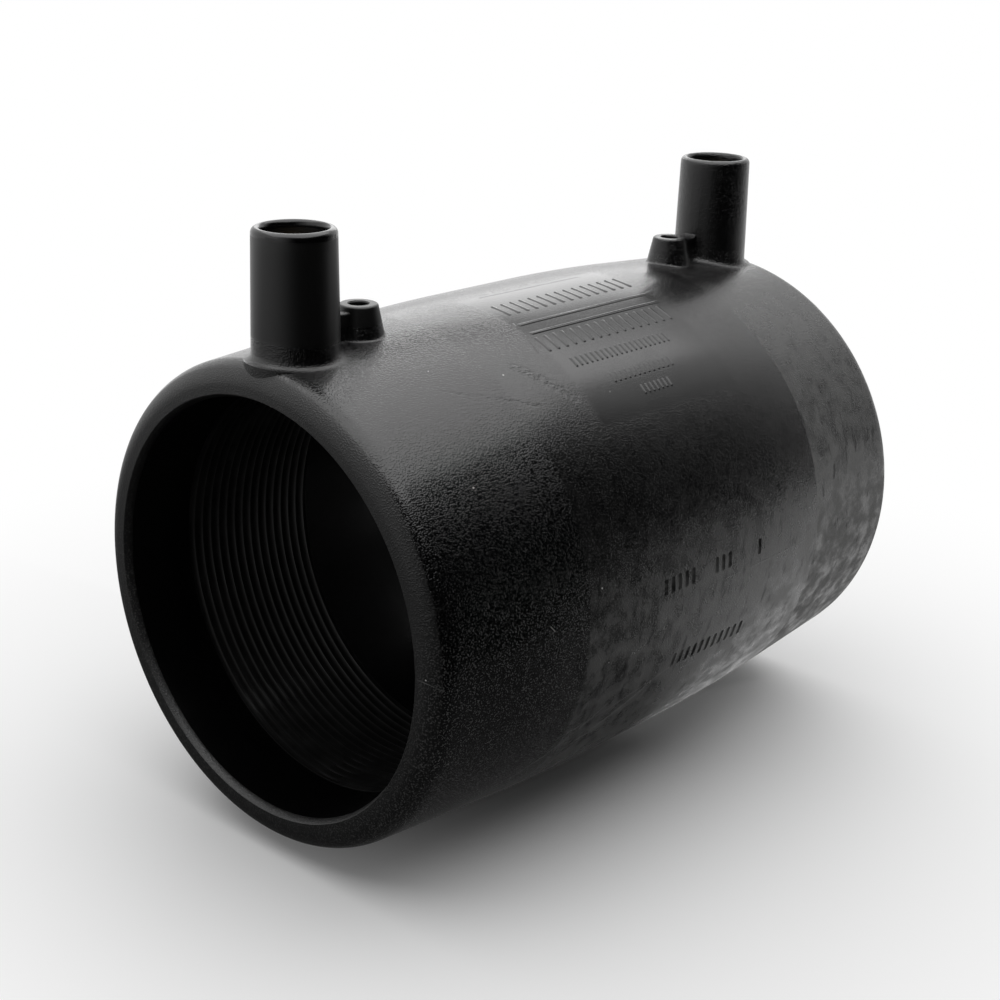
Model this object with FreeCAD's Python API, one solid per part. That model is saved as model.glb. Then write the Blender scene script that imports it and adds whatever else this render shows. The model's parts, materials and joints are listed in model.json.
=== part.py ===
import FreeCAD, Part
import math
import os

# A coupler that welds two plastic pipes end to end: a moulded sleeve with a socket at each
# end, a heating coil in the wall of the sockets, a contact pin in a shroud over each end of
# the coil, and beside each shroud a small boss with a pin that shows when the weld is made.
# The axis of the pipes is X, the terminals point up (+Z), and the origin is on the axis of
# the sockets, halfway along. Lengths are in millimetres and angles in degrees.

# Pipe and sockets
pipe_d = 63.0
pipe_room = 0.2                # between the pipe and the socket's wall, all round
body_length = 114.0
mouth_chamfer_depth = 1.2
mouth_chamfer_rise = 0.45
stop_thickness = 1.2
stop_height = 1.5
stop_draft = 8.0

# Outside of the sleeve: a plain middle, then a taper to a rounded shoulder at each end
wall = 7.6                     # in the middle, from the socket to the outside
straight_length = 40.0
end_taper = 3.9
shoulder_r = 3.6
shoulder_steps = 3             # flats that make each rounded shoulder
rim_steps = 2                  # the same on the rims of the shrouds and bosses

# Heating coil: coated wire wound in two zones, with a plain stretch at each mouth and
# one in the middle
plain_mouth_length = 12.3
plain_middle_length = 40.0
coil_thickness = 1.6
coil_proud = 0.1               # the turns stand this much out of the socket's wall
wire_d = 0.9
wire_cover = 0.45              # of the sleeve's material between the wire's ends and the socket

# Terminal shrouds
terminal_from_end = 8.0
shroud_height = 18.05          # above the sleeve
shroud_top_d = 12.04
shroud_draft = 1.0
shroud_hollow_d = 9.3
shroud_depth = 12.5
shroud_rim_r = 0.85
shroud_lip = 0.14              # the flat that is left between the rim's rounding and the lead-in
lead_in_depth = 0.9            # of the cone that the hollow opens with
shroud_foot_rise = 1.2         # the foot flares from this far over the sleeve
shroud_foot_flare = 0.42       # and is this much wider at the sleeve

# Contact pins in the shrouds
pin_d = 4.0
pin_below_rim = 3.2
pin_tip_chamfer = 0.6
pin_anchor_d = 5.4             # the thicker end in the sleeve's wall
pin_press = 0.15               # how deep it flattens the end of the wire

# Weld indicators
indicator_from_end = 20.0
boss_height = 4.57             # above the sleeve
boss_top_d = 5.72
boss_draft = 12.0
boss_rim_r = 0.4
indicator_d = 2.9
indicator_room = 0.05          # between the pin and its hole, all round
indicator_below_rim = 1.2
indicator_skin = 1.0           # of the sleeve's material between the hole and the coil
web_thickness = 3.0
web_below_rim = 0.5
web_rise = 1.6                 # the web's top climbs this much towards the shroud

# Worked out from the sizes above
socket_r = pipe_d / 2 + pipe_room
half_length = body_length / 2
middle_r = socket_r + wall
straight_x = straight_length / 2
coil_outer_x = half_length - plain_mouth_length
coil_inner_x = plain_middle_length / 2
coil_r = socket_r - coil_proud
coil_bed_r = coil_r + coil_thickness
wire_r = socket_r + wire_cover + wire_d / 2
ENDS = {"near": -1, "far": 1}


def point(x, r):
    """A point of a half section, in the plane through the sleeve's axis."""
    return FreeCAD.Vector(x, 0, r)


def turned(points, centre, axis):
    """The solid that a closed outline of straight edges makes when it turns around an axis."""
    return Part.Solid(Part.Face(Part.makePolygon(points + points[:1])).revolve(centre, axis, 360))


def turned_about_x(profile):
    """The solid of a closed profile of (x, radius) points around the sleeve's axis."""
    return turned([point(x, r) for x, r in profile], FreeCAD.Vector(0, 0, 0), FreeCAD.Vector(1, 0, 0))


def turned_about_z(profile, x):
    """The solid of a closed profile of (radius, height) points around an upright axis at x."""
    return turned([point(x + r, z) for r, z in profile], FreeCAD.Vector(x, 0, 0), FreeCAD.Vector(0, 0, 1))


def rounding(across, along, radius, lean, steps):
    """Points of a rounded corner, as (along, across), from a face that leans to one square to it."""
    centre_across = across - radius / math.cos(math.radians(lean))
    centre_along = along - radius
    angles = [math.radians(lean + (90 - lean) * i / steps) for i in range(steps + 1)]
    return [(centre_along + radius * math.sin(a), centre_across + radius * math.cos(a)) for a in angles]


def sleeve_r(x):
    """Outer radius of the sleeve at x, as if it had no shoulders."""
    return middle_r - math.tan(math.radians(end_taper)) * max(abs(x) - straight_x, 0)


def sleeve():
    """The plain sleeve with its two sockets, the bed of the coil and the stop ring."""
    shoulder_side = sleeve_r(half_length - shoulder_r)
    shoulder = rounding(shoulder_side, half_length, shoulder_r, end_taper, shoulder_steps)
    stop_top = stop_thickness / 2 - stop_height * math.tan(math.radians(stop_draft))
    far_end = [(straight_x, middle_r)] + shoulder
    far_end += [
        (half_length, socket_r + mouth_chamfer_rise),
        (half_length - mouth_chamfer_depth, socket_r),
        (coil_outer_x, socket_r),
        (coil_outer_x, coil_bed_r),
        (coil_inner_x, coil_bed_r),
        (coil_inner_x, socket_r),
        (stop_thickness / 2, socket_r),
        (stop_top, socket_r - stop_height),
    ]
    return turned_about_x(far_end + [(-x, r) for x, r in reversed(far_end)])


def terminal_x(side):
    return side * (half_length - terminal_from_end)


def indicator_x(side):
    return side * (half_length - indicator_from_end)


terminal_surface = sleeve_r(terminal_x(1))
indicator_surface = sleeve_r(indicator_x(1))
shroud_top = terminal_surface + shroud_height
shroud_floor = shroud_top - shroud_depth
shroud_foot_d = shroud_top_d + 2 * shroud_height * math.tan(math.radians(shroud_draft))
boss_top = indicator_surface + boss_height
pin_top = shroud_top - pin_below_rim
pin_bottom = wire_r + wire_d / 2 - pin_press
indicator_floor = coil_bed_r + indicator_skin
root_z = coil_bed_r + indicator_skin / 2    # where what stands on the sleeve starts, inside its wall


def rim(top, top_d, draft, rim_r):
    """Points of the rounded rim of an upright post, from its wall to its flat top."""
    return [(r, z) for z, r in rounding(top_d / 2, top, rim_r, draft, rim_steps)] + [(0, top)]


def shroud(side):
    """A round post with a flared foot."""
    x = terminal_x(side)
    foot_top = terminal_surface + shroud_foot_rise
    neck_r = shroud_foot_d / 2 - shroud_foot_rise * math.tan(math.radians(shroud_draft))
    root_r = neck_r + shroud_foot_flare / shroud_foot_rise * (foot_top - root_z)
    foot = [(0, root_z), (root_r, root_z), (neck_r, foot_top)]
    return turned_about_z(foot + rim(shroud_top, shroud_top_d, shroud_draft, shroud_rim_r), x)


def boss(side):
    """A small drafted post."""
    root_r = boss_top_d / 2 + (boss_top - root_z) * math.tan(math.radians(boss_draft))
    foot = [(0, root_z), (root_r, root_z)]
    return turned_about_z(foot + rim(boss_top, boss_top_d, boss_draft, boss_rim_r), indicator_x(side))


def web(side):
    """The thin wall that ties the boss to the shroud."""
    boss_x = indicator_x(side)
    shroud_x = terminal_x(side)
    low = boss_top - web_below_rim
    high = low + web_rise
    corners = [(boss_x, low), (boss_x, root_z), (shroud_x, root_z), (shroud_x, high)]
    corners += [(shroud_x - side * shroud_foot_d / 2, high), (boss_x + side * boss_top_d / 2, low)]
    points = [FreeCAD.Vector(x, -web_thickness / 2, z) for x, z in corners]
    return Part.Face(Part.makePolygon(points + points[:1])).extrude(FreeCAD.Vector(0, web_thickness, 0))


def contact_pin(side):
    """The turned brass pin: a free end in the shroud on a thicker end in the sleeve's wall."""
    r = pin_d / 2
    anchor_r = pin_anchor_d / 2
    profile = [(0, pin_bottom), (anchor_r, pin_bottom), (anchor_r, shroud_floor), (r, shroud_floor)]
    profile += [(r, pin_top - pin_tip_chamfer), (r - pin_tip_chamfer, pin_top), (0, pin_top)]
    return turned_about_z(profile, terminal_x(side))


def bored(x, diameter, bottom, top):
    """A round upright tool from bottom to top at x."""
    return Part.makeCylinder(diameter / 2, top - bottom, FreeCAD.Vector(x, 0, bottom))


def shroud_hollow(side):
    """The room round the contact pin, with a lead-in for the plug."""
    mouth_r = shroud_top_d / 2 - shroud_rim_r / math.cos(math.radians(shroud_draft)) - shroud_lip
    hollow_r = shroud_hollow_d / 2
    profile = [(0, shroud_floor), (hollow_r, shroud_floor), (hollow_r, shroud_top - lead_in_depth)]
    return turned_about_z(profile + [(mouth_r, shroud_top), (0, shroud_top)], terminal_x(side))


def pin_bed(side):
    return bored(terminal_x(side), pin_anchor_d, pin_bottom, shroud_floor)


def wire_lead(side):
    """The end of the coil's wire, along the wall from the outer turn to under the contact pin."""
    length = abs(terminal_x(side)) - coil_outer_x + wire_d
    return Part.makeCylinder(wire_d / 2, length, FreeCAD.Vector(side * coil_outer_x, 0, wire_r),
                             FreeCAD.Vector(side, 0, 0))


def wire_link():
    """The straight run of wire between the two zones, opposite the terminals."""
    return Part.makeCylinder(wire_d / 2, plain_middle_length,
                             FreeCAD.Vector(-coil_inner_x, 0, -wire_r), FreeCAD.Vector(1, 0, 0))


def winding(side):
    """One zone of the coil: its turns are fused side by side into a ring in the socket's wall."""
    section = [(coil_inner_x, coil_r), (coil_outer_x, coil_r)]
    section += [(coil_outer_x, coil_bed_r), (coil_inner_x, coil_bed_r)]
    return turned_about_x([(side * x, r) for x, r in section])


def heating_coil():
    """One wire: both windings, the run between them and the two ends that reach the pins."""
    pieces = [winding(side) for side in ENDS.values()]
    pieces += [wire_lead(side).cut(pin_bed(side)) for side in ENDS.values()]
    return wire_link().fuse(pieces).removeSplitter()


def indicator_pin(side):
    """The small pin in each boss, a little under its rim, which stands on the skin over the coil."""
    return bored(indicator_x(side), indicator_d, indicator_floor, boss_top - indicator_below_rim)


def indicator_hole(side):
    return bored(indicator_x(side), indicator_d + 2 * indicator_room, indicator_floor, boss_top)


def coupler_body():
    """The one moulding: sleeve, shrouds, bosses and webs, with the room for all that it holds."""
    body = sleeve()
    for side in ENDS.values():
        body = body.fuse([shroud(side), boss(side), web(side)])
    for side in ENDS.values():
        body = body.cut([shroud_hollow(side), pin_bed(side), indicator_hole(side), wire_lead(side)])
    return body.cut(wire_link()).removeSplitter()


def single(shape):
    """The one solid of a shape that booleans may have wrapped in a compound."""
    if len(shape.Solids) != 1:
        raise ValueError(f"expected one solid, found {len(shape.Solids)}")
    return shape.Solids[0]


def build():
    nodes = {"coupler_body": coupler_body(), "heating_coil": heating_coil()}
    for end, side in ENDS.items():
        nodes[f"terminal_pin_{end}"] = contact_pin(side)
        nodes[f"indicator_pin_{end}"] = indicator_pin(side)
    return {name: single(shape) for name, shape in nodes.items()}


os.makedirs("parts", exist_ok=True)
for name, shape in build().items():
    shape.exportStep(f"parts/{name}.step")
    print(name, "valid" if shape.isValid() else "INVALID", round(shape.Volume, 1), "mm3")
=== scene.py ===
import json
import math

import bmesh
import bpy
from mathutils import Matrix, Vector


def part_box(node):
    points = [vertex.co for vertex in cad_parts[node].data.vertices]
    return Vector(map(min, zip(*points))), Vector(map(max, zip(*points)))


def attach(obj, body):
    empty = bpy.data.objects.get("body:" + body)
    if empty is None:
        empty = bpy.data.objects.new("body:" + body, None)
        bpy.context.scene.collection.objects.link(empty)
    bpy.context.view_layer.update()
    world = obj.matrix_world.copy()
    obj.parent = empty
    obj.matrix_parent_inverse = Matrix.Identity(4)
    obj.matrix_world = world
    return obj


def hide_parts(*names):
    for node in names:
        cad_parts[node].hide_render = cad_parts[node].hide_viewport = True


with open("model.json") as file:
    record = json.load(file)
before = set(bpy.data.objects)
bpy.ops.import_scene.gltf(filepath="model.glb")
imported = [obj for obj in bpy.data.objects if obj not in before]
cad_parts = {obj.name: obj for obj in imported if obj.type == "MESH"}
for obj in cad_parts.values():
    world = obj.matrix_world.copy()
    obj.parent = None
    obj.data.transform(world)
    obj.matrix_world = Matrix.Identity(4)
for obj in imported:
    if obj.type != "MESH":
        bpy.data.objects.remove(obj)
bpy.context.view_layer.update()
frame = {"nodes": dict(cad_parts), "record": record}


# THE MOULDING, SLEEVE
# Sleeve, sockets, stop ring, shrouds, bosses and webs are one injection of black polyethylene.
# The sleeve is a plain tube with tapered ends and rounded shoulders. Lengths are in millimetres,
# and x runs along the sleeve, from the near mouth (-x) to the far one.
MM = 0.001
mounts = {mount["name"]: mount for mount in frame["record"]["mounts"]}
body_low, body_high = (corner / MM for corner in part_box("coupler_body"))
coil_low, coil_high = (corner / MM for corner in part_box("heating_coil"))
half_length = -body_low.x
middle_r = -body_low.z
socket_r = mounts["socket_near"]["dims"]["r_mm"]
straight_x = 20.0
crown_r = 330.0                # the middle runs into the tapers over this soft curve
end_taper = math.radians(3.9)
shoulder_r = 3.6
mouth_chamfer_depth = 1.2
mouth_chamfer_rise = 0.45
mouth_edge_depth = 0.1         # the chamfer's outer edge is broken by this much
mouth_edge_rise = 0.12
stop_half = 0.6
stop_height = 1.5
stop_draft = math.radians(8)
coil_bed_r = coil_high.z
coil_outer_x = 44.7
coil_inner_x = 20.0
sleeve_segments = 336
station_pitch = 1.1            # between the rings of the sleeve's mesh
shoulder_steps = 14


def sleeve_r(x):
    """Outer radius of the sleeve at x, without its shoulders."""
    curve_start = straight_x - crown_r * math.tan(end_taper / 2)
    curve_end = curve_start + crown_r * math.sin(end_taper)
    run = abs(x)
    if run <= curve_start:
        return middle_r
    if run <= curve_end:
        return middle_r - crown_r + math.sqrt(crown_r ** 2 - (run - curve_start) ** 2)
    return middle_r - (run - straight_x) * math.tan(end_taper)


def arc(centre, radius, start, end, steps):
    """Points of an arc from one angle to another, measured from the second axis towards the first."""
    angles = [start + (end - start) * i / steps for i in range(steps + 1)]
    return [(centre[0] + radius * math.sin(a), centre[1] + radius * math.cos(a)) for a in angles]


def runs(start, end, pitch):
    """Evenly spaced numbers from start to end, about a pitch apart."""
    steps = max(1, round(abs(end - start) / pitch))
    return [start + (end - start) * i / steps for i in range(steps + 1)]


def skin(name, rings, closed_profile=True, capped=False):
    """A mesh over rings of points in millimetres, where each ring joins the next one."""
    points = [Vector(p) * MM for ring in rings for p in ring]
    size = len(rings[0])
    faces = []
    for i in range(len(rings) if closed_profile else len(rings) - 1):
        low, high = i * size, (i + 1) % len(rings) * size
        faces += [(low + k, low + (k + 1) % size, high + (k + 1) % size, high + k) for k in range(size)]
    if capped:
        faces += [tuple(range(size)), tuple(reversed(range(len(points) - size, len(points))))]
    mesh = bpy.data.meshes.new(name)
    mesh.from_pydata(points, [], faces)
    tidy = bmesh.new()
    tidy.from_mesh(mesh)
    bmesh.ops.remove_doubles(tidy, verts=tidy.verts, dist=0.0005 * MM)
    bmesh.ops.recalc_face_normals(tidy, faces=tidy.faces)
    tidy.to_mesh(mesh)
    tidy.free()
    piece = bpy.data.objects.new(name, mesh)
    bpy.context.scene.collection.objects.link(piece)
    return piece


def turned_about_x(name, profile):
    """The closed (x, radius) profile, turned around the sleeve's axis."""
    turns = [2 * math.pi * k / sleeve_segments for k in range(sleeve_segments)]
    rings = [[(x, -r * math.sin(a), r * math.cos(a)) for a in turns] for x, r in profile]
    return skin(name, rings)


def far_half():
    """The far half of the sleeve's section, outside first, from the middle round to the stop ring."""
    face_x = half_length - shoulder_r
    centre_r = sleeve_r(face_x) - shoulder_r / math.cos(end_taper)
    shoulder = arc((face_x, centre_r), shoulder_r, end_taper, math.pi / 2, shoulder_steps)
    stop_top_x = stop_half - stop_height * math.tan(stop_draft)
    outside = [(x, sleeve_r(x)) for x in runs(0, shoulder[0][0], station_pitch)[:-1]]
    mouth = [
        (half_length, socket_r + mouth_chamfer_rise + mouth_edge_rise),
        (half_length - mouth_edge_depth, socket_r + mouth_chamfer_rise),
        (half_length - mouth_chamfer_depth, socket_r),
    ]
    bed = [(coil_outer_x, socket_r), (coil_outer_x, coil_bed_r), (coil_inner_x, coil_bed_r)]
    stop = [(coil_inner_x, socket_r), (stop_half, socket_r), (stop_top_x, socket_r - stop_height)]
    return outside + shoulder + mouth + bed + stop


def joined(piece, operation, tools):
    """The piece with each tool united with it or cut from it, and the tools taken away."""
    for tool in tools:
        change = piece.modifiers.new(operation, "BOOLEAN")
        change.operation = operation
        change.solver = "MANIFOLD"
        change.object = tool
    bpy.context.view_layer.update()
    result = bpy.data.meshes.new_from_object(piece.evaluated_get(bpy.context.evaluated_depsgraph_get()))
    piece.modifiers.clear()
    piece.data = result
    for tool in tools:
        bpy.data.objects.remove(tool)
    return piece


far_side = far_half()
moulded_body = turned_about_x("moulded_body", far_side + [(-x, r) for x, r in reversed(far_side[1:])])


# THE MOULDING, SHROUDS AND BOSSES
# A round open shroud stands over each end of the coil and takes the plug of the welding machine.
# Beside it a small conical boss holds the weld indicator, and a thin web ties the two together.
# They are moulded with the sleeve and run into it with a small rounding.
terminal_x = mounts["terminal_far"]["pos_m"][0] / MM
shroud_floor = mounts["terminal_far"]["pos_m"][2] / MM
shroud_top = body_high.z
shroud_top_r = 6.02
shroud_draft = math.radians(1)
shroud_rim_r = 0.85
shroud_hollow_r = 4.65
shroud_floor_chamfer = 0.3
shroud_lead_in_r = 5.24        # the hollow opens to this at the rim
shroud_lead_in_depth = 0.9
shroud_foot_r = 1.25
indicator_low, indicator_high = (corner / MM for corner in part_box("indicator_pin_far"))
indicator_x = (indicator_low.x + indicator_high.x) / 2
indicator_r = (indicator_high.x - indicator_low.x) / 2
indicator_hole_r = indicator_r + 0.05
hole_lead_in_rise = 0.15
hole_lead_in_depth = 0.2
boss_top = indicator_high.z + 1.2
boss_top_r = 2.86
boss_draft = math.radians(12)
boss_rim_r = 0.4
boss_foot_r = 0.55
web_half = 1.3
web_below_rim = 0.7
web_rise = 0.6
web_edge_r = 0.45
root_z = coil_bed_r + 0.5      # what stands on the sleeve starts here, inside its wall
seam_overlap = 0.006           # the roundings dip this much under the sleeve, for a clean seam
web_foot = ((0.55, -seam_overlap), (0.22, 0.12), (0.06, 0.38))    # out from its side, up from the sleeve
cutter_past = 1                # how far a cutter stands out past the opening that it cuts
pin_low, pin_high = (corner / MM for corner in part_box("terminal_pin_far"))
pin_bed_r = (pin_high.x - pin_low.x) / 2
shroud_segments = 128
boss_segments = 80
foot_steps = 9
wall_steps = 8
rim_steps = 7


def surface_z(x, y):
    """Height of the sleeve's top side over a point."""
    return math.sqrt(sleeve_r(x) ** 2 - y ** 2)


def foot(centre_x, turn, wall_r, draft, radius):
    """The rounding between a post's wall and the sleeve, in the upright plane at one turn of the post.

    wall_r gives the wall's radius at a height. Points are (radius, height), from the sleeve up.
    """
    def ground(out):
        return surface_z(centre_x + out * math.cos(turn), out * math.sin(turn))

    probe = 0.01
    out = wall_r(root_z)
    for _ in range(12):
        slope = (ground(out + probe) - ground(out - probe)) / (2 * probe)
        lean = math.atan(slope)
        centre_z = ground(out) + (radius - seam_overlap) * math.cos(lean)
        centre_out = wall_r(centre_z) + radius / math.cos(draft)
        out = centre_out + (radius - seam_overlap) * math.sin(lean)
    rounding = arc((centre_out, centre_z), radius, math.pi - lean, 1.5 * math.pi - draft, foot_steps)
    return [(rounding[0][0], root_z)] + rounding


def post(name, side, centre, top, top_r, draft, rim_r, foot_r, segments):
    """A solid upright post with a rounded rim and a rounded foot."""
    centre_x = side * centre

    def wall_r(z):
        return top_r + (top - z) * math.tan(draft)

    rim_centre = (wall_r(top - rim_r) - rim_r / math.cos(draft), top - rim_r)
    rim = [(r, z) for z, r in arc(rim_centre[::-1], rim_r, draft, math.pi / 2, rim_steps)]
    rings = []
    for k in range(segments):
        turn = 2 * math.pi * k / segments
        profile = [(0, root_z)] + foot(centre_x, turn, wall_r, draft, foot_r)
        foot_top, wall_top = profile[-1][1], rim[0][1]
        wall = [foot_top + (wall_top - foot_top) * i / wall_steps for i in range(1, wall_steps)]
        profile += [(wall_r(z), z) for z in wall] + rim + [(0, top)]
        rings.append([(centre_x + r * math.cos(turn), r * math.sin(turn), z) for r, z in profile])
    return skin(name, [list(ring) for ring in zip(*rings)], closed_profile=False)


def turned_about_z(name, centre_x, profile, segments=96):
    """A closed (radius, height) profile, turned around an upright axis."""
    turns = [2 * math.pi * k / segments for k in range(segments)]
    rings = [[(centre_x + r * math.cos(a), r * math.sin(a), z) for a in turns] for r, z in profile]
    return skin(name, rings, closed_profile=False)


def web(side):
    """The wall between boss and shroud, with a top that climbs to the shroud in a hollow curve."""
    boss_wall = indicator_x + boss_top_r
    shroud_wall = terminal_x - shroud_top_r
    low = boss_top - web_below_rim
    rings = []
    for x in [indicator_x + 0.4] + runs(boss_wall, shroud_wall, 0.25) + [shroud_wall + 0.8]:
        share = min(max((x - boss_wall) / (shroud_wall - boss_wall), 0), 1)
        top = low + web_rise * share ** 4
        ground = surface_z(x, web_half)
        half = [(web_half + web_foot[0][0], root_z)]
        half += [(web_half + out, ground + up) for out, up in web_foot]
        half += [(web_half, top - web_edge_r)]
        half += arc((web_half - web_edge_r, top - web_edge_r), web_edge_r, math.pi / 2, 0, 5)[1:]
        rings.append([(side * x, y, z) for y, z in half + [(-y, z) for y, z in reversed(half)]])
    return skin("web", rings, closed_profile=False, capped=True)


def shroud_hollow(side):
    low = shroud_top - shroud_lead_in_depth
    profile = [(0, shroud_floor), (shroud_hollow_r - shroud_floor_chamfer, shroud_floor),
               (shroud_hollow_r, shroud_floor + shroud_floor_chamfer)]
    for turn in runs(0, math.pi / 2, 0.2):
        widening = (shroud_lead_in_r - shroud_hollow_r) * (1 - math.cos(turn))
        profile.append((shroud_hollow_r + widening, low + shroud_lead_in_depth * math.sin(turn)))
    profile += [(shroud_lead_in_r + 0.1, shroud_top + cutter_past), (0, shroud_top + cutter_past)]
    return turned_about_z("hollow", side * terminal_x, profile)


def pin_bed(side):
    bottom, top = pin_low.z, shroud_floor + 0.1
    profile = [(0, bottom), (pin_bed_r, bottom), (pin_bed_r, top), (0, top)]
    return turned_about_z("pin_bed", side * terminal_x, profile)


def indicator_hole(side):
    wide = indicator_hole_r + hole_lead_in_rise
    profile = [(0, indicator_low.z), (indicator_hole_r, indicator_low.z),
               (indicator_hole_r, boss_top - hole_lead_in_depth)]
    profile += [(wide, boss_top), (wide, boss_top + cutter_past), (0, boss_top + cutter_past)]
    return turned_about_z("indicator_hole", side * indicator_x, profile)


for side in (-1, 1):
    shroud = post("shroud", side, terminal_x, shroud_top, shroud_top_r, shroud_draft, shroud_rim_r,
                  shroud_foot_r, shroud_segments)
    boss = post("boss", side, indicator_x, boss_top, boss_top_r, boss_draft, boss_rim_r, boss_foot_r,
                boss_segments)
    joined(moulded_body, "UNION", [shroud, boss, web(side)])
    joined(moulded_body, "DIFFERENCE", [shroud_hollow(side), pin_bed(side), indicator_hole(side)])


# THE MOULDING, MARKS
# The mould leaves a marking field on the upper flank: low bars in rows, under two long ribs.
# Two rows of short bars are pressed into the flank after moulding. The bars stand for nothing.
rib_height = 0.14
rib_width = 0.62
rib_ends = (-14.5, 17.0)
rib_places = (11.2, 13.8)      # around the sleeve from its top, as every place below
# Rows of raised bars: place around, first and last x, pitch, length and width of a bar
raised_rows = (
    (6.1, -13.0, 16.4, 2.1, 4.0, 0.66),
    (16.6, -14.6, 15.0, 1.98, 3.6, 0.64),
    (21.5, -12.5, 9.8, 1.17, 2.0, 0.42),
    (26.0, -7.6, 6.4, 1.17, 1.8, 0.42),
    (29.3, -3.2, 3.2, 1.07, 1.7, 0.42),
)
# Rows of pressed bars: place around and the x of each bar
pressed_rows = (
    (59.2, [-11.4 + 1.7 * k for k in range(5)] + [1.4 + 1.7 * k for k in range(3)] + [12.9]),
    (73.4, [-6.2 + 1.75 * k for k in range(11)]),
)
pressed_size = (0.85, 2.7)
pressed_depth = 0.3
corner_share = 0.42            # of a bar's smaller side, for the radius of its corners


def on_sleeve(x, around, height):
    """The point over the sleeve at x, a distance around from the top and a height over the surface."""
    angle = around / middle_r
    r = sleeve_r(x) + height
    return (x, -r * math.sin(angle), r * math.cos(angle))


def block(x, around, along, across, levels):
    """A block with round corners on the sleeve, with levels of (height over the sleeve, inset)."""
    corner_r = corner_share * min(along, across)
    edge_steps = max(1, round(along / 2))
    rings = []
    for height, inset in levels:
        half_u, half_v = along / 2 - inset, across / 2 - inset
        r = max(corner_r - inset, 0.02)
        outline = []
        for su, sv, start in ((1, 1, 0), (1, -1, 1), (-1, -1, 2), (-1, 1, 3)):
            centre = (su * (half_u - r), sv * (half_v - r))
            outline += arc(centre, r, start * math.pi / 2, (start + 1) * math.pi / 2, 4)
            if start in (1, 3):
                left = (half_u - r) * su
                outline += [(left - su * 2 * (half_u - r) * i / edge_steps, sv * half_v)
                            for i in range(1, edge_steps)]
        rings.append([on_sleeve(x + u, around + v, height) for u, v in outline])
    return skin("block", rings, closed_profile=False, capped=True)


def merged(pieces):
    """One object with the meshes of all the pieces, which are taken away."""
    whole = bmesh.new()
    for piece in pieces:
        whole.from_mesh(piece.data)
        bpy.data.objects.remove(piece)
    mesh = bpy.data.meshes.new("merged")
    whole.to_mesh(mesh)
    whole.free()
    piece = bpy.data.objects.new("merged", mesh)
    bpy.context.scene.collection.objects.link(piece)
    return piece


def raised(x, around, along, across, height):
    """A bar that stands on the sleeve, rooted in its wall, with sides that lean in."""
    levels = [(-0.5, -0.06), (0, -0.06), (0.6 * height, 0.04), (height, 0.19)]
    return block(x, around, along, across, levels)


def pressed(x, around, along, across, depth):
    """The cutter for a bar that is pressed into the sleeve."""
    levels = [(-depth, 0.16), (-0.7 * depth, 0.04), (0, 0), (0.5, -0.02)]
    return block(x, around, along, across, levels)


rib_middle = sum(rib_ends) / 2
rib_length = rib_ends[1] - rib_ends[0]
marks = [raised(rib_middle, around, rib_length, rib_width, rib_height) for around in rib_places]
for around, first_x, last_x, pitch, tall, wide in raised_rows:
    marks += [raised(x, around, wide, tall, rib_height) for x in runs(first_x, last_x, pitch)]
joined(moulded_body, "UNION", [merged(marks)])
dents = [pressed(x, around, *pressed_size, pressed_depth) for around, row in pressed_rows for x in row]
joined(moulded_body, "DIFFERENCE", [merged(dents)])


# THE MOULDING, FINISH
# Black polyethylene as it leaves the mould, with the pebbled grain of a spark-eroded mould, strong
# at the near end and faint elsewhere, and the dull skin, scratches and dust that handling leaves.
# The grain's paler tips are painted highlights, and the dull skin's extra paleness on the low flank
# is painted light.
polyethylene_black = (0.0014, 0.0014, 0.0015, 1)
# Pale colour for real bloom, and also for painted light on the low flank and painted highlights on grain
# tips
polyethylene_bloom_and_painted_light = (0.11, 0.11, 0.108, 1)
dust_white = (0.42, 0.42, 0.41, 1)


def add(tree, kind, inputs=None, **settings):
    """A shader node with its settings, and with its inputs set or linked."""
    made = tree.nodes.new(kind)
    for name, value in settings.items():
        setattr(made, name, value)
    for socket, value in (inputs or {}).items():
        if isinstance(value, bpy.types.NodeSocket):
            tree.links.new(value, made.inputs[socket])
        else:
            made.inputs[socket].default_value = value
    return made


def maths(tree, operation, *values):
    return add(tree, "ShaderNodeMath", dict(enumerate(values)), operation=operation).outputs[0]


def total(tree, values):
    """The sum of several values."""
    whole = values[0]
    for value in values[1:]:
        whole = maths(tree, "ADD", whole, value)
    return whole


def weighted(tree, pairs):
    """The sum of several masks, each multiplied with its weight."""
    whole = maths(tree, "MULTIPLY", *pairs[0])
    for mask, weight in pairs[1:]:
        whole = maths(tree, "MULTIPLY_ADD", mask, weight, whole)
    return whole


def step_between(tree, value, low, high):
    """0 where the value is at low and 1 where it is at high, with a soft change between."""
    inputs = {"Value": value, "From Min": low, "From Max": high}
    return add(tree, "ShaderNodeMapRange", inputs, interpolation_type="SMOOTHSTEP").outputs[0]


def vector_maths(tree, operation, first, second, output=0):
    inputs = {0: first, 1: second}
    return add(tree, "ShaderNodeVectorMath", inputs, operation=operation).outputs[output]


def noise(tree, vector, scale, detail=2.0, roughness=0.5, distortion=0.0):
    inputs = {"Vector": vector, "Scale": scale, "Detail": detail, "Roughness": roughness,
              "Distortion": distortion}
    return add(tree, "ShaderNodeTexNoise", inputs).outputs[0]


def new_group(name, inputs, outputs):
    """An empty node group with its sockets. Returns the group, its inputs and its output node."""
    group = bpy.data.node_groups.new(name, "ShaderNodeTree")
    for label, value in inputs.items():
        kind = "NodeSocketVector" if isinstance(value, tuple) else "NodeSocketFloat"
        group.interface.new_socket(label, in_out="INPUT", socket_type=kind).default_value = value
    for label, kind in outputs.items():
        group.interface.new_socket(label, in_out="OUTPUT", socket_type=kind)
    return group, group.nodes.new("NodeGroupInput").outputs, group.nodes.new("NodeGroupOutput")


def place_group(tree, group, **inputs):
    """The outputs of a node group that is placed in a material."""
    return add(tree, "ShaderNodeGroup", inputs, node_tree=group).outputs


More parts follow.
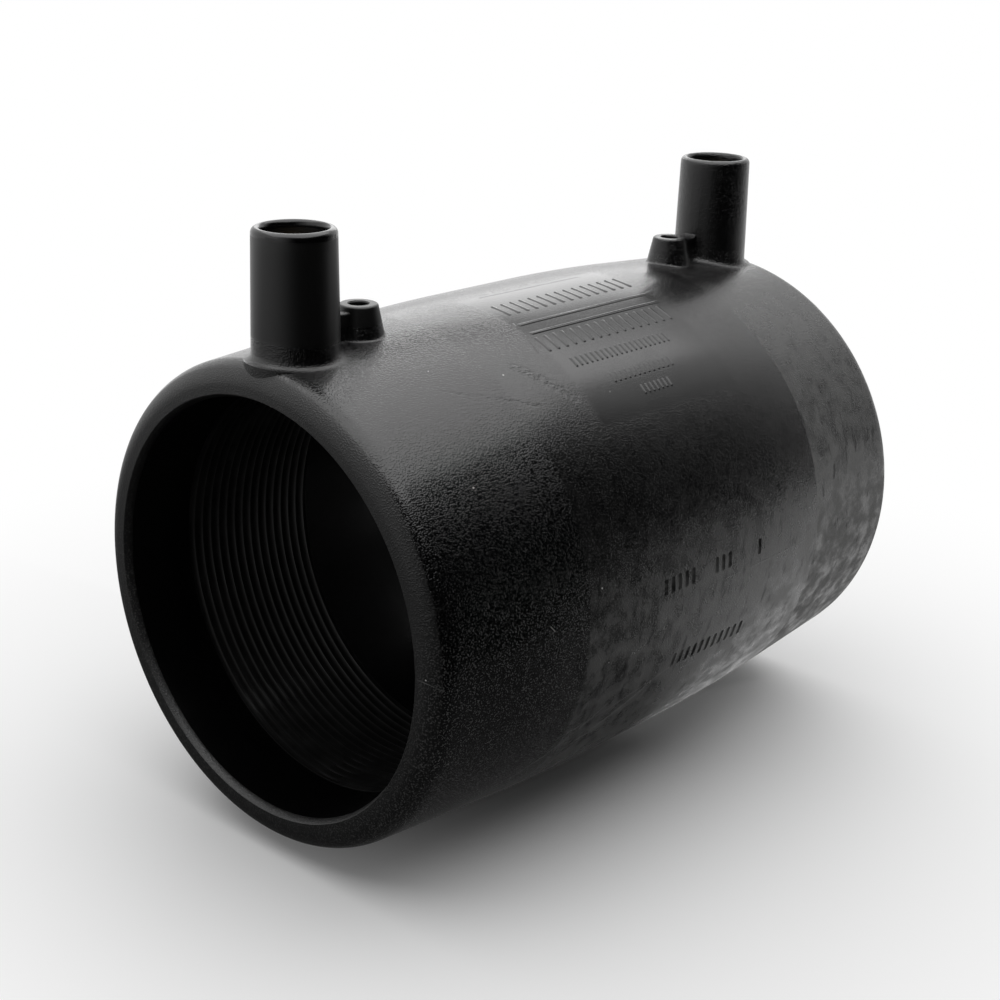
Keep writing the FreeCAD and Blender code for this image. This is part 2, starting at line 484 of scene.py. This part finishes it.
def make_places():
    """Where a point is, in millimetres: in space, and on the sleeve as if it were unrolled."""
    outputs = {"Place": "NodeSocketVector", "Unrolled": "NodeSocketVector", "Radius": "NodeSocketFloat"}
    group, _, result = new_group("places", {}, outputs)
    metres = add(group, "ShaderNodeTexCoord").outputs["Object"]
    place = add(group, "ShaderNodeVectorMath", {0: metres, "Scale": 1 / MM},
                operation="SCALE").outputs[0]
    axes = add(group, "ShaderNodeSeparateXYZ", {0: place}).outputs
    angle = maths(group, "ARCTAN2", maths(group, "MULTIPLY", axes["Y"], -1.0), axes["Z"])
    around = maths(group, "MULTIPLY", angle, middle_r)
    across = add(group, "ShaderNodeCombineXYZ", {"Y": axes["Y"], "Z": axes["Z"]}).outputs[0]
    radius = add(group, "ShaderNodeVectorMath", {0: across}, operation="LENGTH").outputs["Value"]
    unrolled = add(group, "ShaderNodeCombineXYZ", {"X": axes["X"], "Y": around}).outputs[0]
    group.links.new(place, result.inputs["Place"])
    group.links.new(unrolled, result.inputs["Unrolled"])
    group.links.new(radius, result.inputs["Radius"])
    return group


def make_grain():
    """The relief that spark erosion leaves in a mould: bumps that run together, on a flat ground."""
    group, given, result = new_group("mould grain", {"Place": (0.0, 0.0, 0.0), "Cell": 0.5},
                                     {"Height": "NodeSocketFloat"})
    scale = maths(group, "DIVIDE", 1.0, given["Cell"])
    cells = noise(group, given["Place"], scale, detail=0.6, distortion=0.12)
    coarse = noise(group, given["Place"], maths(group, "MULTIPLY", scale, 0.4), detail=1.0)
    bumps = step_between(group, cells, 0.42, 0.72)
    group.links.new(maths(group, "MULTIPLY_ADD", coarse, 0.5, bumps), result.inputs["Height"])
    return group


def make_rubs():
    """Streaks that handling leaves: noise drawn out along one direction of the unrolled sleeve."""
    group, given, result = new_group(
        "rub marks",
        {"Unrolled": (0.0, 0.0, 0.0), "Stretch": (1.0, 1.0, 1.0), "Turn": 0.0, "Share": 0.4},
        {"Mask": "NodeSocketFloat"})
    turned = add(group, "ShaderNodeVectorRotate", {"Vector": given["Unrolled"], "Angle": given["Turn"]},
                 rotation_type="Z_AXIS").outputs[0]
    drawn = vector_maths(group, "MULTIPLY", turned, given["Stretch"])
    streaks = noise(group, drawn, 1.0, detail=3.5, roughness=0.58)
    threshold = maths(group, "SUBTRACT", 0.72, maths(group, "MULTIPLY", given["Share"], 0.4))
    group.links.new(step_between(group, streaks, threshold, maths(group, "ADD", threshold, 0.16)),
                    result.inputs["Mask"])
    return group


def make_specks():
    """Grains of dust: small spots at some of the cells of a pattern."""
    group, given, result = new_group(
        "dust specks", {"Place": (0.0, 0.0, 0.0), "Spacing": 5.0, "Size": 0.2, "Share": 0.5},
        {"Mask": "NodeSocketFloat"})
    scale = maths(group, "DIVIDE", 1.0, given["Spacing"])
    cells = add(group, "ShaderNodeTexVoronoi", {"Vector": given["Place"], "Scale": scale}).outputs
    distance = maths(group, "MULTIPLY", cells["Distance"], given["Spacing"])
    random = add(group, "ShaderNodeSeparateXYZ", {0: cells["Color"]}).outputs
    chance = random["X"]
    size = maths(group, "MULTIPLY", given["Size"], maths(group, "LESS_THAN", chance, given["Share"]))
    size = maths(group, "MULTIPLY", size, maths(group, "MULTIPLY_ADD", random["Y"], 0.75, 0.25))
    spot = maths(group, "LESS_THAN", distance, maths(group, "MULTIPLY", size, 0.5))
    group.links.new(spot, result.inputs["Mask"])
    return group


def make_hairline():
    """A scratch or flow line from one point of the unrolled sleeve to another, a little crooked."""
    group, given, result = new_group(
        "hairline", {"Unrolled": (0.0, 0.0, 0.0), "Start": (0.0, 0.0, 0.0), "End": (1.0, 0.0, 0.0),
                     "Width": 0.15, "Wander": 0.4, "Breaks": 0.0, "Drift": 0.5, "Crumbs": 1.0},
        {"Mask": "NodeSocketFloat"})
    reach = maths(group, "MULTIPLY", given["Wander"], 4.0)
    sideways = maths(group, "SUBTRACT", given["Drift"], 0.5)
    shift = add(group, "ShaderNodeCombineXYZ", {"X": sideways, "Y": sideways}).outputs[0]
    moved = add(group, "ShaderNodeVectorMath", {0: shift, 1: reach, 2: given["Unrolled"]},
                operation="MULTIPLY_ADD").outputs[0]
    run = vector_maths(group, "SUBTRACT", given["End"], given["Start"])
    here = vector_maths(group, "SUBTRACT", moved, given["Start"])
    run_square = vector_maths(group, "DOT_PRODUCT", run, run, "Value")
    run_share = vector_maths(group, "DIVIDE", run, run_square)
    share = vector_maths(group, "DOT_PRODUCT", here, run_share, "Value")
    share = add(group, "ShaderNodeClamp", {"Value": share}).outputs[0]
    nearest = add(group, "ShaderNodeVectorMath", {0: run, "Scale": share}, operation="SCALE").outputs[0]
    distance = vector_maths(group, "DISTANCE", here, nearest, "Value")
    line = step_between(group, distance, given["Width"], maths(group, "MULTIPLY", given["Width"], 0.3))
    gap = maths(group, "MULTIPLY", maths(group, "SUBTRACT", 1.0, given["Crumbs"]), given["Breaks"])
    unbroken = maths(group, "SUBTRACT", 1.0, gap)
    group.links.new(maths(group, "MULTIPLY", line, unbroken), result.inputs["Mask"])
    return group


places = make_places()
grain = make_grain()
rubs = make_rubs()
specks = make_specks()
hairline = make_hairline()

near_band_end = -28.3          # the mould's end inserts meet the middle one here
far_band_start = 30.6
grain_cell = 0.23
grain_height = 0.03
fine_height = 0.018
shroud_skirt = (8.6, 7.4)      # the rougher skin round a shroud ends and is full this far off its axis
boss_skirt = (4.6, 3.6)
field = ((-15.5, 17.5), (-1.0, 33.0))    # of the marking field, which is smooth: x, and around
# Lines on the sleeve: start and end as (x, place around), width, wander, breaks, height, and how pale
sleeve_lines = (
    ((-21.1, 69.3, 0), (-11.0, 65.6, 0), 0.2, 0.5, 0.3, -0.06, 0.0),
    ((-26.0, 72.7, 0), (-21.1, 69.3, 0), 0.16, 0.5, 0.6, -0.05, 0.0),
    ((-26.1, 85.0, 0), (-10.4, 76.0, 0), 0.26, 0.06, 0.2, -0.03, 0.5),
    ((-35.0, 88.5, 0), (-20.4, 76.5, 0), 0.22, 0.06, 0.2, -0.03, 0.45),
    ((-30.0, 80.5, 0), (-6.0, 74.5, 0), 0.2, 0.04, 0.3, 0.02, 0.4),
    ((-38.2, 19.5, 0), (-24.2, 27.2, 0), 0.5, 0.8, 1.0, -0.035, 0.0),
    ((-23.2, 19.4, 0), (-17.6, 27.2, 0), 1.4, 0.7, 1.0, -0.06, 0.0),
    ((-14.9, 10.5, 0), (-17.1, 18.0, 0), 0.13, 0.02, 0.0, 0.05, 0.0),
    ((-11.0, -0.3, 0), (12.0, 0.2, 0), 0.18, 0.05, 0.3, 0.05, 0.0),
    ((-57.0, 60.9, 0), (-55.6, 62.1, 0), 0.1, 0.3, 0.3, -0.03, 0.25),
    ((-36.2, 58.1, 0), (-35.5, 58.9, 0), 0.13, 0.3, 0.0, 0.02, 1.0),
    ((-48.3, 62.2, 0), (-30.5, 62.8, 0), 0.14, 0.05, 0.2, 0.04, 0.0),
    ((-30.5, 62.8, 0), (-10.8, 66.1, 0), 0.14, 0.05, 0.3, 0.04, 0.0),
    ((-10.0, 62.0, 0), (57.0, 62.0, 0), 0.12, 0.03, 0.3, 0.025, 0.0),
    ((-57.0, -62.0, 0), (57.0, -62.0, 0), 0.12, 0.03, 0.3, 0.025, 0.0),
)


def surface(material):
    """The Principled shader of a fresh material and its tree."""
    material.use_nodes = True
    return material.node_tree, material.node_tree.nodes["Principled BSDF"]


def between(tree, value, low, high, soft):
    """1 where the value is between low and high, with soft edges of a given width."""
    return maths(tree, "MULTIPLY", step_between(tree, value, low - soft / 2, low + soft / 2),
                 step_between(tree, value, high + soft / 2, high - soft / 2))


def product(tree, *values):
    """The values multiplied with each other."""
    whole = values[0]
    for value in values[1:]:
        whole = maths(tree, "MULTIPLY", whole, value)
    return whole


def blend(tree, share, first, second):
    """A colour between two colours, which are given or linked."""
    mixed = add(tree, "ShaderNodeMix", {0: share}, data_type="RGBA")
    for socket, colour in ((6, first), (7, second)):
        if isinstance(colour, bpy.types.NodeSocket):
            tree.links.new(colour, mixed.inputs[socket])
        else:
            mixed.inputs[socket].default_value = colour
    return mixed.outputs[2]


def at_foot(tree, beside, centre, far, near):
    """1 on the sleeve close to a shroud or boss, at either end, and 0 from a distance off its axis."""
    distance = vector_maths(tree, "DISTANCE", beside, (centre, 0, 0), "Value")
    return step_between(tree, distance, far, near)


def make_polyethylene():
    material = bpy.data.materials.new("moulded black polyethylene")
    tree, shader = surface(material)
    where = place_group(tree, places)
    place, unrolled, radius = where["Place"], where["Unrolled"], where["Radius"]
    axes = add(tree, "ShaderNodeSeparateXYZ", {0: unrolled}).outputs
    x, signed_around = axes["X"], axes["Y"]
    around = maths(tree, "ABSOLUTE", signed_around)
    from_middle = maths(tree, "ABSOLUTE", x)

    near_band = step_between(tree, x, near_band_end + 0.3, near_band_end - 0.3)
    far_band = step_between(tree, x, far_band_start - 0.2, far_band_start + 0.2)
    outside = step_between(tree, radius, socket_r + 0.6, socket_r + 1.2)
    on_post = step_between(tree, radius, middle_r + 0.5, middle_r + 1.3)
    on_sleeve_skin = product(tree, outside, maths(tree, "SUBTRACT", 1.0, on_post))
    on_lip = step_between(tree, radius, shroud_top - 1.2, shroud_top - 0.7)
    on_face = step_between(tree, from_middle, half_length - 0.25, half_length - 0.05)
    on_rim = step_between(tree, from_middle, half_length - 1.5, half_length - 1.0)
    beside = add(tree, "ShaderNodeCombineXYZ", {"X": from_middle, "Y": signed_around}).outputs[0]
    by_post = maths(tree, "MAXIMUM", at_foot(tree, beside, terminal_x, *shroud_skirt),
                    at_foot(tree, beside, indicator_x, *boss_skirt))
    on_post = total(tree, [on_post, product(tree, by_post, on_sleeve_skin, 0.35)])
    in_field = product(tree, between(tree, x, *field[0], 1.5),
                       between(tree, signed_around, *field[1], 1.5))

    # The grain: strong at the near end, weaker at the far end and weakest in the middle
    pebbles = place_group(tree, grain, Place=place, Cell=grain_cell)["Height"]
    worn = noise(tree, unrolled, 0.12, detail=3.0, roughness=0.6)
    near_share = product(tree, near_band, maths(tree, "MULTIPLY_ADD", on_face, -0.25, 1.0),
                         maths(tree, "MULTIPLY_ADD", worn, 0.4, 0.8))
    coarse_share = total(tree, [near_share, maths(tree, "MULTIPLY", far_band, 0.2)])
    smooth_share = maths(tree, "SUBTRACT", 1.0, maths(tree, "MULTIPLY", in_field, 0.75))
    not_near = maths(tree, "SUBTRACT", 1.0, near_band)
    fine_share = product(tree, not_near, smooth_share, maths(tree, "MULTIPLY_ADD", worn, 0.8, 0.6),
                         maths(tree, "ADD", on_post, 1.0),
                         maths(tree, "MULTIPLY_ADD", outside, 0.85, 0.15))
    grained = maths(tree, "MAXIMUM", on_sleeve_skin, on_rim)
    low_flank = step_between(tree, around, 44.0, 68.0)
    # Painted highlight: the tops of the grain's bumps are paler, more so on the low flank
    coarse_tip_highlight = maths(tree, "MULTIPLY_ADD", low_flank, 0.3, 0.07)
    tip_highlight_share = total(tree, [product(tree, coarse_share, coarse_tip_highlight), product(tree, fine_share, 0.12)])
    painted_tip_highlight = product(tree, step_between(tree, pebbles, 0.7, 1.2), tip_highlight_share)
    relief = product(tree, pebbles, total(tree, [product(tree, coarse_share, grained, grain_height),
                                                 product(tree, fine_share, fine_height)]))

    # The dull skin: all over the far end, and on the low flank, wiped off in streaks and blotches
    streaks = place_group(tree, rubs, Unrolled=unrolled, Stretch=(0.6, 0.2, 1.0), Turn=-0.12,
                          Share=0.48)["Mask"]
    scuffs = place_group(tree, rubs, Unrolled=unrolled, Stretch=(0.2, 0.6, 1.0), Turn=0.5,
                         Share=0.3)["Mask"]
    blotches = step_between(tree, noise(tree, unrolled, 0.26, detail=5.0, roughness=0.65), 0.34, 0.64)
    towards_far = step_between(tree, x, -30.0, 34.0)
    beyond_near = total(tree, [product(tree, not_near, 0.6),
                               product(tree, step_between(tree, x, -44.0, -20.0), 0.4)])
    off_crown = step_between(tree, around, 8.0, 42.0)
    dull_end = product(tree, far_band, maths(tree, "MULTIPLY_ADD", off_crown, 0.6, 0.12))
    dull_flank = product(tree, low_flank, beyond_near, maths(tree, "MULTIPLY_ADD", towards_far, 0.4, 0.4))
    dull_rest = product(tree, not_near, off_crown, maths(tree, "MULTIPLY_ADD", towards_far, 0.02, 0.05))
    mottled = product(tree, maths(tree, "ADD", blotches, 0.38), on_sleeve_skin)
    dull = total(tree, [product(tree, total(tree, [dull_end, dull_flank, dull_rest]), mottled),
                        product(tree, scuffs, on_sleeve_skin, 0.08)])
    # Painted light: the dull skin is paler on the low flank than its real bloom gives, most at the far end
    flank_light_share = product(tree, low_flank, maths(tree, "ADD", far_band, 0.3))
    bloom_and_flank_light = product(tree, dull, maths(tree, "ADD", flank_light_share, 0.65),
                    maths(tree, "MULTIPLY_ADD", streaks, -0.85, 1.0))

    drift = noise(tree, unrolled, 0.55, detail=2.0, roughness=0.6)
    crumbs = step_between(tree, noise(tree, unrolled, 1.4, detail=2.0), 0.42, 0.56)
    lines = [(place_group(tree, hairline, Unrolled=unrolled, Start=start, End=end, Width=width,
                          Wander=wander, Breaks=breaks, Drift=drift, Crumbs=crumbs)["Mask"], height, pale)
             for start, end, width, wander, breaks, height, pale in sleeve_lines]
    scored = weighted(tree, [(mask, height) for mask, height, _ in lines])
    paled = weighted(tree, [(mask, pale) for mask, _, pale in lines if pale])
    dust = place_group(tree, specks, Place=place, Spacing=3.4, Size=0.24, Share=0.3)["Mask"]
    lint = place_group(tree, specks, Place=place, Spacing=9.0, Size=0.34, Share=0.25)["Mask"]

    # Paleness: real bloom and pale scratches, with painted light on the low flank and painted highlights on
    # grain tips
    paleness_and_painted_light = total(tree, [bloom_and_flank_light, product(tree, painted_tip_highlight, grained), product(tree, paled, outside)])
    colour = blend(tree, paleness_and_painted_light, polyethylene_black, polyethylene_bloom_and_painted_light)
    dusty = blend(tree, maths(tree, "MAXIMUM", dust, lint), colour, dust_white)
    tree.links.new(dusty, shader.inputs["Base Color"])

    post_roughness = product(tree, on_post, maths(tree, "MULTIPLY_ADD", towards_far, -0.14, 0.24),
                             maths(tree, "MULTIPLY_ADD", on_lip, -0.8, 1.0))
    roughness = total(tree, [0.12, product(tree, worn, 0.08), product(tree, dull, 0.34), post_roughness,
                             product(tree, on_rim, 0.28)])
    tree.links.new(roughness, shader.inputs["Roughness"])
    shader.inputs["IOR"].default_value = 1.54
    height = total(tree, [relief, product(tree, scored, on_sleeve_skin)])
    bump = add(tree, "ShaderNodeBump", {"Height": height, "Distance": MM, "Strength": 1.0})
    tree.links.new(bump.outputs[0], shader.inputs["Normal"])
    return material


def smooth(piece, sharp_from=32):
    """Smooth shading, with edges from this many degrees left sharp."""
    piece.data.shade_smooth()
    piece.data.set_sharp_from_angle(angle=math.radians(sharp_from))


smooth(moulded_body)
moulded_body.data.materials.clear()
moulded_body.data.materials.append(make_polyethylene())
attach(moulded_body, "root")
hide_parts("coupler_body")


# THE HEATING COIL
# Resistance wire in a coat of black polyethylene, wound turn beside turn on the moulding core in
# two zones, with a straight run between them and a lead to each contact pin.
wire_r = 0.45
wire_segments = 20
wire_depth = 0.45              # of the plastic over the straight runs
wire_line_r = socket_r + wire_depth + wire_r
coil_r = socket_r - 0.1
coil_turns = 15
groove_depth = 0.22
points_a_turn = 10
coil_segments = 160
wire_overlap = 0.3             # the straight runs start this far inside the zones
coat_black = (0.002, 0.002, 0.002, 1)
coat_scuffed = (0.006, 0.006, 0.006, 1)


def winding(side):
    """One zone of the coil: ridges that climb around the bore, and a plain back in the wall."""
    rings = []
    turns = [2 * math.pi * k / coil_segments for k in range(coil_segments)]
    pitch = (coil_outer_x - coil_inner_x) / coil_turns
    for x in runs(coil_inner_x, coil_outer_x, pitch / points_a_turn):
        ring = []
        for angle in turns:
            phase = math.pi * ((x - coil_inner_x) / pitch + angle / (2 * math.pi))
            r = coil_r + groove_depth * (1 - math.sqrt(abs(math.sin(phase))))
            ring.append((side * x, -r * math.sin(angle), r * math.cos(angle)))
        rings.append(ring)
    back = [(coil_outer_x, coil_bed_r), (coil_inner_x, coil_bed_r)]
    rings += [[(side * x, -r * math.sin(a), r * math.cos(a)) for a in turns] for x, r in back]
    return skin("winding", rings)


def wire(start_x, end_x, height):
    """A straight run of wire along the sleeve."""
    turns = [2 * math.pi * k / wire_segments for k in range(wire_segments)]
    rings = [[(x, wire_r * math.sin(a), height + wire_r * math.cos(a)) for a in turns]
             for x in (start_x, end_x)]
    return skin("wire", rings, closed_profile=False, capped=True)


def make_coat():
    material = bpy.data.materials.new("coated coil wire")
    tree, shader = surface(material)
    where = place_group(tree, places)
    clouds = noise(tree, where["Place"], 0.3, detail=3.0)
    fine = place_group(tree, grain, Place=where["Place"], Cell=0.25)["Height"]
    shade = blend(tree, step_between(tree, clouds, 0.4, 0.75), coat_black, coat_scuffed)
    tree.links.new(shade, shader.inputs["Base Color"])
    tree.links.new(maths(tree, "MULTIPLY_ADD", clouds, 0.2, 0.35), shader.inputs["Roughness"])
    shader.inputs["IOR"].default_value = 1.3
    height = maths(tree, "MULTIPLY", fine, 0.006)
    bump = add(tree, "ShaderNodeBump", {"Height": height, "Distance": MM})
    tree.links.new(bump.outputs[0], shader.inputs["Normal"])
    return material


heating_coil = winding(-1)
lead_ends = (coil_outer_x - wire_overlap, terminal_x - pin_bed_r)
leads = [wire(side * lead_ends[0], side * lead_ends[1], wire_line_r) for side in (-1, 1)]
link = wire(-coil_inner_x - wire_overlap, coil_inner_x + wire_overlap, -wire_line_r)
joined(heating_coil, "UNION", [link])
joined(heating_coil, "UNION", [winding(1)] + leads)
heating_coil.name = "wound_coil"
smooth(heating_coil, 50)
heating_coil.data.materials.clear()
heating_coil.data.materials.append(make_coat())
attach(heating_coil, "root")
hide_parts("heating_coil")


# THE CONTACT PINS
# Two turned brass pins, moulded into the floor of the shrouds, with the fine rings of the lathe
# and a slightly darker skin towards the floor.
brass_clean = (0.72, 0.52, 0.22, 1)
brass_tarnished = (0.34, 0.2, 0.08, 1)
tarnish_height = 5.0
lathe_pitch = 0.18


def make_brass():
    material = bpy.data.materials.new("turned brass")
    tree, shader = surface(material)
    place = place_group(tree, places)["Place"]
    height_z = add(tree, "ShaderNodeSeparateXYZ", {0: place}).outputs["Z"]
    rings = maths(tree, "SINE", maths(tree, "MULTIPLY", height_z, 2 * math.pi / lathe_pitch))
    tarnish = noise(tree, place, 0.8, detail=4.0)
    low = step_between(tree, height_z, shroud_floor + tarnish_height, shroud_floor)
    shade = blend(tree, maths(tree, "MULTIPLY", tarnish, low), brass_clean, brass_tarnished)
    tree.links.new(shade, shader.inputs["Base Color"])
    tree.links.new(maths(tree, "MULTIPLY_ADD", tarnish, 0.25, 0.16), shader.inputs["Roughness"])
    shader.inputs["Metallic"].default_value = 1.0
    height = maths(tree, "MULTIPLY", rings, 0.003)
    bump = add(tree, "ShaderNodeBump", {"Height": height, "Distance": MM})
    tree.links.new(bump.outputs[0], shader.inputs["Normal"])
    return material


brass = make_brass()
for end in ("near", "far"):
    pin = frame["nodes"]["terminal_pin_" + end]
    pin.data.materials.clear()
    pin.data.materials.append(brass)


# THE WELD INDICATORS
# Two small polyethylene pins that sit loose in the bosses until the weld pushes them up. Their
# tops are a little domed.
indicator_black = (0.009, 0.009, 0.009, 1)
indicator_scuffed = (0.022, 0.022, 0.022, 1)


def make_indicator_finish():
    material = bpy.data.materials.new("indicator polyethylene")
    tree, shader = surface(material)
    place = place_group(tree, places)["Place"]
    fine = place_group(tree, grain, Place=place, Cell=0.2)["Height"]
    clouds = noise(tree, place, 1.2, detail=3.0)
    shade = blend(tree, clouds, indicator_black, indicator_scuffed)
    tree.links.new(shade, shader.inputs["Base Color"])
    tree.links.new(maths(tree, "MULTIPLY_ADD", clouds, 0.2, 0.35), shader.inputs["Roughness"])
    height = maths(tree, "MULTIPLY", fine, 0.008)
    bump = add(tree, "ShaderNodeBump", {"Height": height, "Distance": MM})
    tree.links.new(bump.outputs[0], shader.inputs["Normal"])
    return material


indicator_finish = make_indicator_finish()
indicator_segments = 64
dome_rise = 0.22
for end, side in (("near", -1), ("far", 1)):
    edge_z = indicator_high.z - dome_rise
    turns = runs(0, math.pi / 2, 0.2)
    dome = [(indicator_r * math.cos(a), edge_z + dome_rise * math.sin(a)) for a in turns]
    profile = [(0, indicator_low.z), (indicator_r, indicator_low.z)] + dome
    indicator = turned_about_z("weld_indicator_" + end, side * indicator_x, profile, indicator_segments)
    smooth(indicator)
    indicator.data.materials.append(indicator_finish)
    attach(indicator, "root")
    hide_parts("indicator_pin_" + end)


# FLOOR AND STUDIO
# A pale floor at the sleeve's lowest line, a white surround, a soft lamp overhead and one behind.
# Black cards stand where the plastic mirrors something dark, and glow a little as painted light;
# the one under the object is a painted shadow. Places are in metres from here on.
floor_z = -middle_r * MM
floor_half = 8.0
floor_near, floor_far = 0.04, 0.17        # the floor runs into the white surround between these


def seen_directly(tree):
    """1 for rays from the camera, a reflection or a pane, and 0 for the rays that light things."""
    path = add(tree, "ShaderNodeLightPath").outputs
    return maths(tree, "MAXIMUM", path["Is Camera Ray"],
                 maths(tree, "MAXIMUM", path["Is Glossy Ray"], path["Is Transmission Ray"]))


def make_floor():
    material = bpy.data.materials.new("pale floor")
    tree, shader = surface(material)
    shader.inputs["Base Color"].default_value = (0.93, 0.93, 0.93, 1)
    shader.inputs["Roughness"].default_value = 0.7
    shader.inputs["Specular IOR Level"].default_value = 0.2
    place = add(tree, "ShaderNodeTexCoord").outputs["Object"]
    distance = add(tree, "ShaderNodeVectorMath", {0: place}, operation="LENGTH").outputs["Value"]
    beyond = step_between(tree, distance, floor_near, floor_far)
    share = maths(tree, "MULTIPLY", beyond, seen_directly(tree))
    white = add(tree, "ShaderNodeEmission", {"Strength": 1.0}).outputs[0]
    mixed = add(tree, "ShaderNodeMixShader", {0: share, 1: shader.outputs[0], 2: white}).outputs[0]
    tree.links.new(mixed, tree.nodes["Material Output"].inputs["Surface"])
    material.cycles.emission_sampling = "NONE"    # its glow isn't sampled as a lamp
    return material


floor_mesh = bpy.data.meshes.new("floor")
floor_corners = [(x * floor_half, y * floor_half, floor_z) for x, y in ((-1, -1), (1, -1), (1, 1), (-1, 1))]
floor_mesh.from_pydata(floor_corners, [], [(0, 1, 2, 3)])
floor = bpy.data.objects.new("floor", floor_mesh)
bpy.context.scene.collection.objects.link(floor)
floor_mesh.materials.append(make_floor())


surround_light = 0.12          # how brightly the surround lights things, against how it looks


def make_surround():
    world = bpy.data.worlds.new("white surround")
    world.use_nodes = True
    tree = world.node_tree
    lit = tree.nodes["Background"]
    lit.inputs["Color"].default_value = (1, 1, 1, 1)
    lit.inputs["Strength"].default_value = surround_light
    white = add(tree, "ShaderNodeBackground", {"Color": (1, 1, 1, 1), "Strength": 1.0}).outputs[0]
    mixed = add(tree, "ShaderNodeMixShader",
                {0: seen_directly(tree), 1: lit.outputs[0], 2: white}).outputs[0]
    tree.links.new(mixed, tree.nodes["World Output"].inputs["Surface"])
    return world


bpy.context.scene.world = make_surround()


def heading(azimuth, elevation):
    """The direction at an azimuth from +Y towards +X and an elevation, in degrees."""
    a, e = math.radians(azimuth), math.radians(elevation)
    return Vector((math.sin(a) * math.cos(e), math.cos(a) * math.cos(e), math.sin(e)))


def soft_lamp(name, azimuth, elevation, distance, width, height, brightness):
    """A rectangular soft lamp that faces the object. Brightness is what a reflection of it shows."""
    lamp = bpy.data.lights.new(name, "AREA")
    lamp.shape = "RECTANGLE"
    lamp.size, lamp.size_y = width, height
    lamp.energy = brightness * math.pi * width * height
    stand = bpy.data.objects.new(name, lamp)
    bpy.context.scene.collection.objects.link(stand)
    stand.location = heading(azimuth, elevation) * distance
    stand.rotation_euler = stand.location.to_track_quat("Z", "Y").to_euler()
    stand.visible_camera = False
    return stand


soft_lamp("overhead_lamp", 62, 84, 0.8, 1.35, 1.4, 1.6)
soft_lamp("rear_lamp", 46, 21, 0.9, 0.55, 0.36, 1.42)

# Black cards round the object, upright or flat on the floor, over a sweep of azimuths in degrees
card_pitch = 4
wall_r, wall_top = 0.37, 0.415
wall_sweep = (102, 266)
low_wall_sweep = (262, 298)
skirt_sweep = (300, 318)
mat_inner_r = 0.13
mat_z = floor_z + 0.0005
mat_sweep = (124, 276)
left_mat_sweep = (276, 352)
shadow_mat_sweep = (112, 352)
card_glow_heights = (0.13, 0.31)           # the upright cards glow more between these heights, as painted light
card_glow_azimuths = (-136, -94)              # and between these azimuths


def make_card_black(name, glowing_azimuth, black_azimuth, least_glow, upright):
    """Black card that glows a little towards one end, and an upright one also towards its top: painted
    light.
    """
    material = bpy.data.materials.new(name)
    tree, shader = surface(material)
    shader.inputs["Base Color"].default_value = (0.0, 0.0, 0.0, 1)
    shader.inputs["Specular IOR Level"].default_value = 0.0
    shader.inputs["Emission Strength"].default_value = 1.0
    place = add(tree, "ShaderNodeTexCoord").outputs["Object"]
    axes = add(tree, "ShaderNodeSeparateXYZ", {0: place}).outputs
    azimuth = maths(tree, "ARCTAN2", axes["X"], axes["Y"])
    far_side = maths(tree, "GREATER_THAN", axes["X"], 0.0)
    lit = step_between(tree, azimuth, math.radians(black_azimuth), math.radians(glowing_azimuth))
    lit = product(tree, lit, far_side)
    if upright:
        height = step_between(tree, axes["Z"], *card_glow_heights)
        left = step_between(tree, azimuth, *(math.radians(angle) for angle in card_glow_azimuths))
        lit = total(tree, [product(tree, lit, maths(tree, "MULTIPLY_ADD", height, 0.55, 0.45)),
                           product(tree, left, maths(tree, "SUBTRACT", 1.0, far_side), 0.6)])
    # Painted light: the card's glow stands in for light that it would catch
    tree.links.new(maths(tree, "MAXIMUM", lit, least_glow), shader.inputs["Emission Color"])
    material.cycles.emission_sampling = "NONE"    # its glow isn't sampled as a lamp
    return material


def black_card(name, inner_r, outer_r, low, high, sweep, glowing_azimuth=0, black_azimuth=0, least_glow=0.0):
    """A band of black card round the object, seen only in reflections."""
    turns = runs(*sweep, card_pitch)
    points = [heading(azimuth, 0) * r + Vector((0, 0, z)) for azimuth in turns
              for r, z in ((inner_r, low), (outer_r, high))]
    faces = [(2 * i, 2 * i + 1, 2 * i + 3, 2 * i + 2) for i in range(len(turns) - 1)]
    mesh = bpy.data.meshes.new(name)
    mesh.from_pydata(points, [], faces)
    card = bpy.data.objects.new(name, mesh)
    bpy.context.scene.collection.objects.link(card)
    mesh.materials.append(make_card_black(name, glowing_azimuth, black_azimuth, least_glow, high > low))
    card.visible_camera = card.visible_diffuse = card.visible_shadow = False


black_card("black_wall", wall_r, wall_r, mat_z, wall_top, wall_sweep, 103, 133)
black_card("black_wall_low", wall_r, wall_r, -0.01, 0.13, low_wall_sweep)
black_card("black_skirt", wall_r, wall_r, mat_z, 0.025, skirt_sweep)
black_card("black_mat", mat_inner_r, wall_r, mat_z, mat_z, mat_sweep, 116, 144)
black_card("black_mat_left", mat_inner_r, wall_r, mat_z, mat_z, left_mat_sweep, least_glow=0.15)
# Painted shadow: a dark mat under the object, seen only in reflections, in place of its shadow on the floor
black_card("painted_shadow_mat", 0.001, mat_inner_r, mat_z, mat_z, shadow_mat_sweep, 122, 158, 0.06)


# CAMERA
# At the photograph's place, which was worked out from the sleeve, the mouth and the shrouds.
camera_place = Vector((-0.205002, -0.179810, 0.102176))
camera_aim = Vector((-0.005294, 0.0, 0.004491))
camera_roll = math.radians(1.5949)

lens = bpy.data.cameras.new("camera")
lens.sensor_width = 36.0
lens.lens = 62.53
lens.clip_start, lens.clip_end = 0.01, 30.0
camera = bpy.data.objects.new("camera", lens)
bpy.context.scene.collection.objects.link(camera)
facing = (camera_aim - camera_place).to_track_quat("-Z", "Y").to_matrix().to_4x4()
camera.matrix_world = Matrix.Translation(camera_place) @ facing @ Matrix.Rotation(camera_roll, 4, "Z")
bpy.context.scene.camera = camera
bpy.context.scene.view_settings.view_transform = "Standard"
